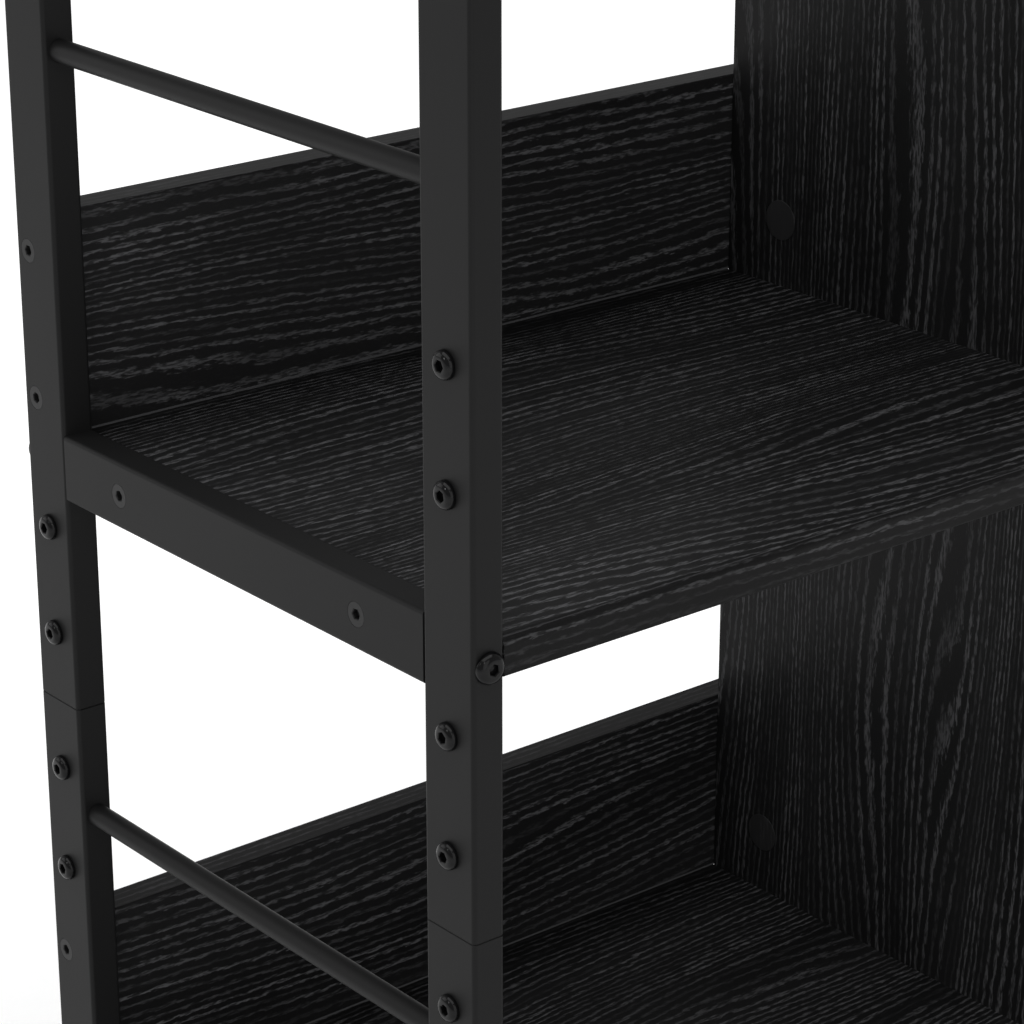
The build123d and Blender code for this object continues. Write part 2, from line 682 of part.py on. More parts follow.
strip_top = TOP_SHELF + STRIP_HEIGHT
bracket_top = BRACKET_HOLE_Z + BRACKET_WIDTH / 2
with BuildPart() as wall_brackets:
    for x in BRACKET_X:
        with BuildSketch(Plane.YZ.offset(x - BRACKET_WIDTH / 2)):
            with BuildLine():
                Polyline(
                    (STRIP_FRONT, strip_top),
                    (BACK, strip_top),
                    (BACK, bracket_top),
                    (BACK - BRACKET_THICK, bracket_top),
                    (BACK - BRACKET_THICK, strip_top + BRACKET_THICK),
                    (STRIP_FRONT, strip_top + BRACKET_THICK),
                    close=True,
                )
            make_face()
        extrude(amount=BRACKET_WIDTH)
    drill(
        [looking_along(x, BACK, BRACKET_HOLE_Z, (0, 1, 0)) for x in BRACKET_X],
        BRACKET_HOLE,
        BRACKET_THICK,
    )
    drill(
        [looking_along(x, STRIP_MID, strip_top + BRACKET_THICK, (0, 0, 1)) for x in BRACKET_X],
        BRACKET_SCREW_RADIUS + FIT,
        BRACKET_THICK,
    )
save(wall_brackets.part, "wall_brackets")

with BuildPart() as bracket_screw:
    with BuildSketch(Plane.XZ):
        with BuildLine():
            Polyline(
                (0, -BRACKET_SCREW_LENGTH),
                (BRACKET_SCREW_RADIUS, -BRACKET_SCREW_LENGTH),
                (BRACKET_SCREW_RADIUS, 0),
                (3.6, 0),
                (3.6, 0.5),
            )
            ThreePointArc((3.6, 0.5), (3.0, 1.4), (2.0, 2.1))
            Polyline((2.0, 2.1), (0, 2.1), (0, -BRACKET_SCREW_LENGTH))
        make_face()
    revolve(axis=Axis.Z)
    with BuildSketch(Plane.XY.offset(2.1)):
        Rectangle(3.0, 0.8)
        Rectangle(0.8, 3.0)
    extrude(amount=-1.2, mode=Mode.SUBTRACT)
screw_heads = [
    looking_along(x, STRIP_MID, strip_top + BRACKET_THICK, (0, 0, 1)) for x in BRACKET_X
]
save(copies(bracket_screw.part, screw_heads), "bracket_screws")
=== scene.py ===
"""Looks of a two-bay bookcase with steel side frames, black oak boards and adjustable shelves.

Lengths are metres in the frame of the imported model: +X is the width, +Y runs to the back, +Z is up.
Small sizes are written in millimetres and multiplied by MM.
"""

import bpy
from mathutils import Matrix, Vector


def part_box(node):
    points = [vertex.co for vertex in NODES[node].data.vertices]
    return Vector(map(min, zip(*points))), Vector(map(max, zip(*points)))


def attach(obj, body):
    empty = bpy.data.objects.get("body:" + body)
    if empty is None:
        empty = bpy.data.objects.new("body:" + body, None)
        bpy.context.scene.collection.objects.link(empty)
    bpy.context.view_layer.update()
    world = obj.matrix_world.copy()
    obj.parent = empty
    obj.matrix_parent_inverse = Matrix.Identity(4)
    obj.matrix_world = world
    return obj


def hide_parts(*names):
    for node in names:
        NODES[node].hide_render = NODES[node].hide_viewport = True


bl_info = {
    "name": "Bookcase With Adjustable Shelves",
    "version": (1, 0, 0),
    "blender": (4, 5, 0),
    "location": "3D View > Sidebar > Bookcase",
    "description": "Finishes, fasteners, feet and studio of a steel and black oak bookcase",
    "category": "Object",
}

import math

import bmesh
import bpy
from mathutils import Matrix, Vector

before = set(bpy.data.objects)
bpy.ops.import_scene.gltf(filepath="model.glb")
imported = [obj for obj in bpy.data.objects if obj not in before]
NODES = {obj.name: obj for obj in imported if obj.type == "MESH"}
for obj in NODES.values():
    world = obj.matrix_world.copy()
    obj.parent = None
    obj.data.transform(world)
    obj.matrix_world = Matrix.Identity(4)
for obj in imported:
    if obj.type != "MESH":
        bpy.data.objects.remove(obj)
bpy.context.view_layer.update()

MM = 0.001
ROOT_BODY = "frame"
SEGMENTS = 36  # round a fastener; a multiple of 6, so that it also walks round a hexagon
FOOT_SEGMENTS = 96
SOCKET_TURN = 2.4  # radians between the sockets of one fastener and the next
UPRIGHT_TURN = (0.0, math.radians(90.0), 0.0)  # turns the grain from along X to along Z
BOARD_SHIFT = Vector((0.83, 0.37, 0.21))  # metres between two boards' places in the figure
NO_JUNCTION_HIGHLIGHT = -1000.0  # millimetres; a height that no board reaches, so the board gets no painted highlight line

# Lengths of the noise blotches in the timber, in millimetres along and twice across the grain.
FIGURE_BLOTCH = (600.0, 84.0, 84.0)
WANDER_BLOTCH = (60.0, 12.0, 12.0)
RAGGED_BLOTCH = (8.0, 1.7, 1.7)
FADING_BLOTCH = (120.0, 17.0, 17.0)
PORE_BLOTCH = (5.5, 1.0, 1.0)
SPECK_BLOTCH = (3.2, 0.3, 0.3)
TONE_BLOTCH = (420.0, 70.0, 70.0)
WANDER = 3.4  # millimetres that the grain lines stray in long waves
RAGGED = 4.6  # millimetres that their edges stray in short ones
GRAIN_SLANT = 0.9  # rise of the rings with height, so that faces and edges show different lines
BAND_SHIFT = 700.0  # millimetres between the figure of a face and that of its edge band
BAND_COSINE = 0.5  # a surface within 60 degrees of Edge Facing belongs to the edge band
BAND_CALM = 0.85  # share of the figure that an edge band lacks
BAND_FADE = 0.55  # share of the streaks' strength that an edge band lacks
ROUNDING_HIGHLIGHT_REACH = 0.05  # half the width of the painted highlight line on a rounding, as a cosine
ROUNDING_HIGHLIGHT_STRENGTH = 0.3
JUNCTION_HIGHLIGHT_REACH = 0.5  # half the height of the painted highlight line along a back strip's low edge, in millimetres
JUNCTION_HIGHLIGHT_STRENGTH = 0.75
SPECK_STRENGTH = 0.10
NOISE_MIDDLE = 0.5
FIGURE_SPREAD = 2.0  # the noise strays half a unit to each side, the figure a whole one
LINE_RISE = (0.0, 0.12)  # shares of a ring between which its line comes up
LINE_FALL = (0.28, 0.5)  # shares of a ring between which its line dies away
LINE_CHANCE = (0.0, 0.45, 0.3, 1.0)  # lots from and to, and the lines' strengths for them
LINE_FADING = (0.32, 0.62, 0.4, 1.0)  # noise from and to, and the lines' strengths for it
PORE_RANGE = (0.4, 0.57)  # noise at which pores begin and are full
SPECK_RANGE = (0.6, 0.75)
TONE_RANGE = (0.3, 0.7, 0.75, 1.25)  # noise from and to, and the ground's brightness for it
GROUND_ROUGHNESS = 0.44
STREAK_ROUGHNESS = 0.22  # what a full streak adds to it
PORE_CONTRAST = 0.8
# Painted shade: edge bands are darker than their faces, toning down the lit top edges of the strips
# and, more strongly, the shelves' front edges.
STRIP_EDGE_SHADE = 0.9  # brightness of an edge band against its face; painted shade that tones down the lit edges
BOARD_EDGE_SHADE = 0.52
DIVIDER_GROUND = 0.85  # brightness of the divider's ground and streaks against the other boards'
DIVIDER_STREAK = 0.75
STRIP_JUNCTION_HIGHLIGHT = 0.5  # millimetres from a back strip's low edge to the middle of its painted highlight line
CLOUD_BLOTCH = (38.0, 38.0, 52.0)  # millimetres; the slight cloudiness of coats and plastics

OUTER_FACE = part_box("right_front_post_upper")[1].x
BACK_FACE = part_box("right_rear_post_upper")[1].y
BAY_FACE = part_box("right_front_post_upper")[0].x
DIVIDER_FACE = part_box("divider")[1].x


# ---- Node helpers -------------------------------------------------------------------------------
def node(tree, kind, inputs=None, **settings):
    """Add a node, set its properties, and give each named or numbered input a value or a link."""
    made = tree.nodes.new(kind)
    for name, value in settings.items():
        setattr(made, name, value)
    for name, value in (inputs or {}).items():
        socket = made.inputs[name]
        if isinstance(value, bpy.types.NodeSocket):
            tree.links.new(value, socket)
        else:
            socket.default_value = value
    return made


def maths(tree, operation, first, second=0.0, third=0.0):
    """Output of a Math node."""
    made = node(tree, "ShaderNodeMath", {0: first, 1: second, 2: third}, operation=operation)
    return made.outputs[0]


def stretched_noise(tree, vector, lengths, detail, roughness=0.5):
    """Noise whose blotches are about lengths long on the three axes of vector."""
    scale = tuple(1.0 / length for length in lengths)
    squeezed = node(tree, "ShaderNodeVectorMath", {0: vector, 1: scale}, operation="MULTIPLY")
    settings = {
        "Vector": squeezed.outputs[0],
        "Scale": 1.0,
        "Detail": detail,
        "Roughness": roughness,
    }
    return node(tree, "ShaderNodeTexNoise", settings).outputs["Fac"]


def smooth_range(tree, value, low, high, start=0.0, end=1.0):
    """Value eased from start to end while it goes from low to high."""
    inputs = {"Value": value, "From Min": low, "From Max": high, "To Min": start, "To Max": end}
    made = node(tree, "ShaderNodeMapRange", inputs, interpolation_type="SMOOTHSTEP")
    return made.outputs["Result"]


def in_millimetres(tree, vector):
    """A vector in metres as one in millimetres."""
    scaled = node(tree, "ShaderNodeVectorMath", {0: vector}, operation="SCALE")
    scaled.inputs["Scale"].default_value = 1.0 / MM
    return scaled.outputs[0]


def shaded(tree, tint, factor):
    """A colour socket made lighter or darker by a factor socket."""
    made = node(tree, "ShaderNodeVectorMath", {0: tint}, operation="SCALE")
    tree.links.new(factor, made.inputs["Scale"])
    return made.outputs[0]


def mixed(tree, factor, first, second):
    """Colour between two colours or colour sockets."""
    made = node(tree, "ShaderNodeMix", data_type="RGBA")
    for name, value in (("Factor_Float", factor), ("A_Color", first), ("B_Color", second)):
        socket = next(item for item in made.inputs if item.identifier == name)
        if isinstance(value, bpy.types.NodeSocket):
            tree.links.new(value, socket)
        else:
            socket.default_value = value
    return next(item for item in made.outputs if item.identifier == "Result_Color")


def new_group(name, inputs, outputs):
    """An empty shader node group with named sockets: (name, kind, default) and (name, kind)."""
    tree = bpy.data.node_groups.new(name, "ShaderNodeTree")
    for label, kind, default in inputs:
        socket = tree.interface.new_socket(name=label, in_out="INPUT", socket_type=kind)
        if default is not None:
            socket.default_value = default
    for label, kind in outputs:
        tree.interface.new_socket(name=label, in_out="OUTPUT", socket_type=kind)
    return tree, tree.nodes.new("NodeGroupInput"), tree.nodes.new("NodeGroupOutput")


VECTOR, FLOAT, COLOR = "NodeSocketVector", "NodeSocketFloat", "NodeSocketColor"


def grey(value):
    """A neutral colour."""
    return (value, value, value, 1.0)


def opaque(value):
    """A colour property as a colour with alpha."""
    return (value[0], value[1], value[2], 1.0)


# ---- Shared effects -----------------------------------------------------------------------------
def open_grain_group():
    """Open-pored timber. The grain runs along the vector's X; lengths inside are millimetres."""
    tree, inputs, outputs = new_group(
        "Open Grain",
        [
            ("Vector", VECTOR, None),
            ("Ring Spacing", FLOAT, 3.0),
            ("Figure", FLOAT, 50.0),
            ("Ground", COLOR, grey(0.006)),
            ("Streak", COLOR, grey(0.04)),
            ("Pore Contrast", FLOAT, 0.7),
            ("Edge Facing", VECTOR, (0.0, 1.0, 0.0)),
            ("Edge Tone", FLOAT, 1.0),
            ("Lip Height", FLOAT, NO_JUNCTION_HIGHLIGHT),
        ],
        [("Color", COLOR), ("Roughness", FLOAT), ("Height", FLOAT)],
    )
    place = in_millimetres(tree, inputs.outputs["Vector"])
    parts = node(tree, "ShaderNodeSeparateXYZ", {0: place})
    height = parts.outputs["Z"]
    contrast = inputs.outputs["Pore Contrast"]

    # Edge bands: faces that look along Edge Facing, and a painted highlight line where a rounding
    # meets one.
    normal = node(tree, "ShaderNodeTexCoord").outputs["Normal"]
    pair = {0: normal, 1: inputs.outputs["Edge Facing"]}
    cosine = node(tree, "ShaderNodeVectorMath", pair, operation="DOT_PRODUCT").outputs["Value"]
    cosine = maths(tree, "ABSOLUTE", cosine)
    banded = maths(tree, "GREATER_THAN", cosine, BAND_COSINE)
    # Painted highlight: a thin pale line on the rounding, where its normal turns from the face to the
    # edge band.
    rounding_highlight = maths(tree, "ABSOLUTE", maths(tree, "SUBTRACT", cosine, BAND_COSINE))
    rounding_highlight = maths(tree, "LESS_THAN", rounding_highlight, ROUNDING_HIGHLIGHT_REACH)
    # Painted highlight: a pale line along a back strip's low edge, where it stands on a shelf.
    lip = maths(tree, "SUBTRACT", height, inputs.outputs["Lip Height"])
    lip = maths(tree, "LESS_THAN", maths(tree, "ABSOLUTE", lip), JUNCTION_HIGHLIGHT_REACH)

    # Growth rings: the distance across the grain, bent by the figure, in ring spacings.
    across = maths(tree, "MULTIPLY_ADD", height, GRAIN_SLANT, parts.outputs["Y"])
    figure = stretched_noise(tree, place, FIGURE_BLOTCH, detail=1.0, roughness=0.4)
    figure = maths(tree, "SUBTRACT", figure, NOISE_MIDDLE)
    figure = maths(tree, "MULTIPLY", figure, inputs.outputs["Figure"])
    figure = maths(tree, "MULTIPLY", figure, FIGURE_SPREAD)
    figure = maths(tree, "MULTIPLY", figure, maths(tree, "MULTIPLY_ADD", banded, -BAND_CALM, 1.0))
    figure = maths(tree, "MULTIPLY_ADD", banded, BAND_SHIFT, figure)
    wander = stretched_noise(tree, place, WANDER_BLOTCH, detail=2.0)
    wander = maths(tree, "SUBTRACT", wander, NOISE_MIDDLE)
    ragged = stretched_noise(tree, place, RAGGED_BLOTCH, detail=3.0, roughness=0.6)
    ragged = maths(tree, "SUBTRACT", ragged, NOISE_MIDDLE)
    rings = maths(tree, "ADD", across, figure)
    rings = maths(tree, "MULTIPLY_ADD", wander, WANDER, rings)
    rings = maths(tree, "MULTIPLY_ADD", ragged, RAGGED, rings)
    rings = maths(tree, "DIVIDE", rings, inputs.outputs["Ring Spacing"])
    number = maths(tree, "FLOOR", rings)
    within = maths(tree, "FRACT", rings)

    # One open-pored line in each ring, strong or weak by chance, fading in and out on its way.
    rise = smooth_range(tree, within, *LINE_RISE)
    fall = smooth_range(tree, within, *LINE_FALL, 1.0, 0.0)
    line = maths(tree, "MULTIPLY", rise, fall)
    lots = node(tree, "ShaderNodeTexWhiteNoise", {"W": number}, noise_dimensions="1D")
    chance = smooth_range(tree, lots.outputs["Value"], *LINE_CHANCE)
    line = maths(tree, "MULTIPLY", line, chance)
    fading = stretched_noise(tree, place, FADING_BLOTCH, detail=2.0)
    line = maths(tree, "MULTIPLY", line, smooth_range(tree, fading, *LINE_FADING))

    # Pores break the lines into dashes, and single ones stand between the lines.
    pores = stretched_noise(tree, place, PORE_BLOTCH, detail=2.0)
    pores = smooth_range(tree, pores, *PORE_RANGE)
    specks = stretched_noise(tree, place, SPECK_BLOTCH, detail=1.0)
    specks = smooth_range(tree, specks, *SPECK_RANGE)
    dashes = maths(tree, "MULTIPLY_ADD", pores, contrast, maths(tree, "SUBTRACT", 1.0, contrast))
    streak = maths(tree, "MULTIPLY", line, dashes)
    streak = maths(tree, "MULTIPLY_ADD", specks, SPECK_STRENGTH, streak)
    streak = maths(tree, "MULTIPLY", streak, maths(tree, "MULTIPLY_ADD", banded, -BAND_FADE, 1.0))
    # Painted highlights: the line on a rounding and the line along a back strip's low edge are drawn
    # in the streak colour.
    streak = maths(tree, "MAXIMUM", streak, maths(tree, "MULTIPLY", rounding_highlight, ROUNDING_HIGHLIGHT_STRENGTH))
    streak = maths(tree, "MAXIMUM", streak, maths(tree, "MULTIPLY", lip, JUNCTION_HIGHLIGHT_STRENGTH))

    tone_and_edge_shade = stretched_noise(tree, place, TONE_BLOTCH, detail=2.0)
    tone_and_edge_shade = smooth_range(tree, tone_and_edge_shade, *TONE_RANGE)
    # Painted shade: edge-band faces are darkened by this factor, toning down the lit front and top
    # edges; the random tone stays under it.
    edge_shade = maths(tree, "SUBTRACT", inputs.outputs["Edge Tone"], 1.0)
    tone_and_edge_shade = maths(tree, "MULTIPLY", tone_and_edge_shade, maths(tree, "MULTIPLY_ADD", banded, edge_shade, 1.0))
    ground = shaded(tree, inputs.outputs["Ground"], tone_and_edge_shade)
    color = mixed(tree, streak, ground, inputs.outputs["Streak"])
    tree.links.new(color, outputs.inputs["Color"])
    gloss = maths(tree, "MULTIPLY_ADD", streak, STREAK_ROUGHNESS, GROUND_ROUGHNESS)
    tree.links.new(gloss, outputs.inputs["Roughness"])
    tree.links.new(maths(tree, "MULTIPLY", streak, -1.0), outputs.inputs["Height"])
    return tree


def fine_texture_group():
    """The tiny bumps and slight cloudiness of powder coat, oxide films and moulded plastic."""
    tree, inputs, outputs = new_group(
        "Fine Texture",
        [
            ("Vector", VECTOR, None),
            ("Colour", COLOR, grey(0.012)),
            ("Grain Size", FLOAT, 0.5),
            ("Roughness", FLOAT, 0.5),
            ("Variation", FLOAT, 0.12),
        ],
        [("Color", COLOR), ("Roughness", FLOAT), ("Height", FLOAT)],
    )
    place = in_millimetres(tree, inputs.outputs["Vector"])
    cloud = stretched_noise(tree, place, CLOUD_BLOTCH, detail=3.0)
    rate = maths(tree, "DIVIDE", 1.0, inputs.outputs["Grain Size"])
    settings = {"Vector": place, "Scale": rate, "Detail": 2.0}
    speck = node(tree, "ShaderNodeTexNoise", settings).outputs["Fac"]
    shift = maths(tree, "SUBTRACT", maths(tree, "ADD", cloud, speck), 2 * NOISE_MIDDLE)
    factor = maths(tree, "MULTIPLY_ADD", shift, inputs.outputs["Variation"], 1.0)
    tree.links.new(shaded(tree, inputs.outputs["Colour"], factor), outputs.inputs["Color"])
    gloss = maths(tree, "MULTIPLY", inputs.outputs["Roughness"], factor)
    tree.links.new(gloss, outputs.inputs["Roughness"])
    tree.links.new(speck, outputs.inputs["Height"])
    return tree


def group_named(name):
    """The shared node group, built the first time that it is asked for."""
    builders = {"Open Grain": open_grain_group, "Fine Texture": fine_texture_group}
    return bpy.data.node_groups.get(name) or builders[name]()


# ---- Materials ----------------------------------------------------------------------------------
def principled(name, group_name, values, bump, shader=None, turn=None, shift=None):
    """A material whose colour, roughness and bump come from one shared group.

    The group works on object coordinates, after turn and shift. bump is (distance, strength).
    """
    material = bpy.data.materials.new(name)
    material.use_nodes = True
    tree = material.node_tree
    surface = tree.nodes["Principled BSDF"]
    vector = node(tree, "ShaderNodeTexCoord").outputs["Object"]
    if turn or shift:
        inputs = {"Vector": vector, "Location": shift or (0, 0, 0), "Rotation": turn or (0, 0, 0)}
        vector = node(tree, "ShaderNodeMapping", inputs).outputs["Vector"]
    effect = node(tree, "ShaderNodeGroup", node_tree=group_named(group_name))
    tree.links.new(vector, effect.inputs["Vector"])
    for label, value in values.items():
        effect.inputs[label].default_value = value
    tree.links.new(effect.outputs["Color"], surface.inputs["Base Color"])
    tree.links.new(effect.outputs["Roughness"], surface.inputs["Roughness"])
    distance, strength = bump
    relief = {"Height": effect.outputs["Height"], "Distance": distance, "Strength": strength}
    normal = node(tree, "ShaderNodeBump", relief).outputs["Normal"]
    tree.links.new(normal, surface.inputs["Normal"])
    for label, value in (shader or {}).items():
        surface.inputs[label].default_value = value
    return material


def fine_finish(name, tint, grain_size, roughness, variation, bump, shader=None):
    """A coat, plate or plastic from the Fine Texture group. bump is (distance, strength)."""
    values = {
        "Colour": opaque(tint),
        "Grain Size": grain_size,
        "Roughness": roughness,
        "Variation": variation,
    }
    return principled(name, "Fine Texture", values, bump, shader)


def paint(piece, material):
    """Give a piece or a CAD node one material."""
    if not piece.material_slots:
        piece.data.materials.append(material)
    for place in piece.material_slots:
        place.material = material


# ---- Mesh helpers -------------------------------------------------------------------------------
def ring(radius, height, segments=SEGMENTS):
    """Points of a level circle."""
    return [
        Vector((radius * math.cos(angle), radius * math.sin(angle), height))
        for angle in (2 * math.pi * step / segments for step in range(segments))
    ]


def hexagon(apothem, height, segments=SEGMENTS):
    """Points round a level hexagon, at the same angles as ring()."""
    side = math.pi / 3
    points = []
    for step in range(segments):
        angle = 2 * math.pi * step / segments
        reach = apothem / math.cos(angle % side - side / 2)
        points.append(Vector((reach * math.cos(angle), reach * math.sin(angle), height)))
    return points


def thread(core, crest, pitch, low, high, segments=SEGMENTS, taper=0.0):
    """Rings of a helical thread from low to high; it narrows to a point over the taper length."""
    steps_per_turn = 4
    tip = 0.12  # share of the radius that the point keeps
    count = max(2, round((high - low) / pitch * steps_per_turn))
    rings = []
    for row in range(count + 1):
        height = low + (high - low) * row / count
        narrow = min(1.0, tip + (1 - tip) * (height - low) / taper) if taper else 1.0
        points = []
        for step in range(segments):
            turn = step / segments
            wave = 1 - abs(2 * ((height / pitch - turn) % 1.0) - 1)
            radius = (core + (crest - core) * wave) * narrow
            angle = 2 * math.pi * turn
            points.append(Vector((radius * math.cos(angle), radius * math.sin(angle), height)))
        rings.append(points)
    return rings


def quarter_round(start, end, steps):
    """(radius, height) points of a bulging curve from start to end, ends left out."""
    points = []
    for step in range(1, steps):
        sweep = step / steps * math.pi / 2
        radius = start[0] + (end[0] - start[0]) * (1 - math.cos(sweep))
        height = start[1] + (end[1] - start[1]) * math.sin(sweep)
        points.append((radius, height))
    return points


def slope(start, end, steps):
    """(radius, height) points of a straight slope from start to end, ends left out."""
    shares = [step / steps for step in range(1, steps)]
    return [tuple(a + (b - a) * share for a, b in zip(start, end)) for share in shares]


def skin(mesh, rings, place):
    """Join rings into one closed surface, fanned shut at both ends, and put it in place."""
    rows = [[mesh.verts.new(place @ point) for point in points] for points in rings]
    count = len(rows[0])
    for lower, upper in zip(rows, rows[1:]):
        for step in range(count):
            after = (step + 1) % count
            mesh.faces.new((lower[step], lower[after], upper[after], upper[step]))
    for points, row, flip in ((rings[0], rows[0], True), (rings[-1], rows[-1], False)):
        middle = sum(points, Vector()) / count
        hub = mesh.verts.new(place @ middle)
        for step in range(count):
            after = (step + 1) % count
            corners = (row[after], row[step], hub) if flip else (row[step], row[after], hub)
            mesh.faces.new(corners)


def facing(spot, direction, turn=0.0):
    """Matrix that takes local +Z to direction at spot, after a turn about local Z."""
    aim = Vector((0, 0, 1)).rotation_difference(Vector(direction)).to_matrix().to_4x4()
    return Matrix.Translation(spot) @ aim @ Matrix.Rotation(turn, 4, "Z")


def finish_piece(name, mesh, material, body, replaced, crease=35.0):
    """Turn a bmesh into an object that rides on a body and stands for CAD nodes."""
    bmesh.ops.recalc_face_normals(mesh, faces=mesh.faces)
    data = bpy.data.meshes.new(name)
    mesh.to_mesh(data)
    mesh.free()
    data.shade_smooth()
    data.set_sharp_from_angle(angle=math.radians(crease))
    piece = bpy.data.objects.new(name, data)
    bpy.context.scene.collection.objects.link(piece)
    paint(piece, material)
    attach(piece, body)
    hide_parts(*replaced)
    return piece


def solids(name):
    """(lowest, highest) corners of each separate solid in a CAD node, in a fixed order."""
    mesh = bmesh.new()
    mesh.from_mesh(NODES[name].data)
    bmesh.ops.remove_doubles(mesh, verts=mesh.verts, dist=1e-6)
    seen = set()
    boxes = []
    for first in mesh.verts:
        if first in seen:
            continue
        seen.add(first)
        queue = [first]
        points = []
        while queue:
            here = queue.pop()
            points.append(here.co.copy())
            for edge in here.link_edges:
                other = edge.other_vert(here)
                if other not in seen:
                    seen.add(other)
                    queue.append(other)
        low = Vector(min(point[axis] for point in points) for axis in range(3))
        high = Vector(max(point[axis] for point in points) for axis in range(3))
        boxes.append((low, high))
    mesh.free()
    return sorted(boxes, key=lambda pair: tuple(round(value, 4) for value in pair[0]))


# ---- Settings -----------------------------------------------------------------------------------
def length(label, text, millimetres):
    """A length property."""
    return bpy.props.FloatProperty(
        name=label, description=text, default=millimetres * MM, min=0.0, unit="LENGTH", precision=5
    )


def colour(label, text, value):
    """A colour property."""
    return bpy.props.FloatVectorProperty(
        name=label, description=text, default=value, subtype="COLOR", size=3, min=0.0, max=1.0
    )


def fraction(label, text, value):
    """A zero-to-one property."""
    return bpy.props.FloatProperty(
        name=label, description=text, default=value, min=0.0, max=1.0, subtype="FACTOR"
    )


class SteelSettings(bpy.types.PropertyGroup):
    """Finish of the posts, rails, guards and wall brackets."""

    coat: colour("Powder coat", "Colour of the coated steel", (0.0071, 0.0071, 0.0072))
    gloss: fraction("Roughness", "Roughness of the powder coat", 0.46)
    sheen: fraction("Specular level", "Strength of the coat's reflection", 0.09)
    grain: length("Texture size", "Size of the coat's tiny bumps", 0.45)
    inner: colour("Zinc", "Colour of the plated inner fittings", (0.42, 0.43, 0.44))


class OakSettings(bpy.types.PropertyGroup):
    """Finish of the boards."""

    ground: colour("Ground", "Colour between the grain lines", (0.0092, 0.0092, 0.0094))
    streak: colour("Streak", "Colour of the open grain", (0.08, 0.08, 0.083))
    spacing: length("Ring spacing", "Distance between grain lines", 4.5)
    figure: length("Figure", "How far the grain lines wander", 46.0)
    sheen: fraction("Specular level", "Strength of the lacquer's reflection", 0.06)


class FastenerSettings(bpy.types.PropertyGroup):
    """Shapes and finish of the bolts, screws, caps and pins."""

    socket: length("Socket width", "Width across the flats of the hex sockets", 4.0)
    socket_depth: length("Socket depth", "Depth of the hex sockets", 2.1)
    bolt_core: length("Bolt core", "Radius at the root of the bolts' threads", 2.65)
    bolt_crest: length("Bolt crest", "Radius at the crest of the bolts' threads", 2.98)
    bolt_pitch: length("Bolt pitch", "Pitch of the bolts' threads", 1.0)
    screw_core: length("Screw core", "Radius at the root of the screws' threads", 1.6)
    screw_crest: length("Screw crest", "Radius at the crest of the screws' threads", 2.38)
    screw_pitch: length("Screw pitch", "Pitch of the screws' threads", 2.4)
    oxide: colour("Black oxide", "Colour of the domed bolts", (0.003, 0.003, 0.0032))
    flush: colour("Flush screws", "Colour of the countersunk screws", (0.0088, 0.0088, 0.009))
    vinyl: colour("Cover caps", "Colour of the stick-on covers", (0.0155, 0.0155, 0.016))


class FootSettings(bpy.types.PropertyGroup):
    """Shape and finish of the levelling feet and the other black plastic."""

    ribs: bpy.props.IntProperty(
        name="Ribs", description="Grip ribs round a foot", default=24, min=6
    )
    rib_depth: length("Rib depth", "How far the grooves go in", 0.45)
    stem_core: length("Stem core", "Radius at the root of the stem's thread", 3.3)
    stem_crest: length("Stem crest", "Radius at the crest of the stem's thread", 3.9)
    stem_pitch: length("Stem pitch", "Pitch of the stem's thread", 1.25)
    plastic: colour("Plastic", "Colour of the moulded parts", (0.012, 0.012, 0.0122))


class StageSettings(bpy.types.PropertyGroup):
    """Floor, lights and camera."""

    floor: colour("Floor", "Colour of the floor", (0.86, 0.86, 0.86))
    floor_size: bpy.props.FloatProperty(
        name="Floor size", description="Width of the floor", default=60.0, unit="LENGTH"
    )
    glow_start: bpy.props.FloatProperty(
        name="Glow start", description="Where the floor starts to fade to white", default=0.3,
        unit="LENGTH",
    )
    glow_full: bpy.props.FloatProperty(
        name="Glow full", description="Where the floor is white", default=2.2, unit="LENGTH"
    )
    glow: fraction("Glow", "Strength of the floor's fade to white", 0.52)
    overhead: bpy.props.FloatProperty(
        name="Overhead", description="Power of the overhead panel", default=106.0, unit="POWER"
    )
    key: bpy.props.FloatProperty(
        name="Key", description="Power of the small front light", default=7.0, unit="POWER"
    )
    fill: bpy.props.FloatProperty(
        name="Fill", description="Power of the large front panel", default=42.0, unit="POWER"
    )
    side: bpy.props.FloatProperty(
        name="Side", description="Power of the small light on the left", default=10.0, unit="POWER"
    )
    rear: bpy.props.FloatProperty(
        name="Rear", description="Power of the panel behind on the left", default=26.0, unit="POWER"
    )
    ambient: fraction("Ambient", "Strength of the light from all round", 0.48)
    lens: bpy.props.FloatProperty(
        name="Lens", description="Focal length in millimetres", default=116.2, min=10.0
    )
    heading: bpy.props.FloatProperty(
        name="Heading",
        description="Turn of the camera from the back direction towards +X",
        default=math.radians(39.4),
        subtype="ANGLE",
    )
    tilt: bpy.props.FloatProperty(
        name="Tilt", description="How far the camera looks down", default=math.radians(21.06),
        subtype="ANGLE",
    )
    offset: bpy.props.FloatVectorProperty(
        name="Camera offset",
        description="Camera from the left front post's corner at the middle shelf",
        default=(-0.6977, -0.8721, 0.4837),
        subtype="TRANSLATION",
        size=3,
    )


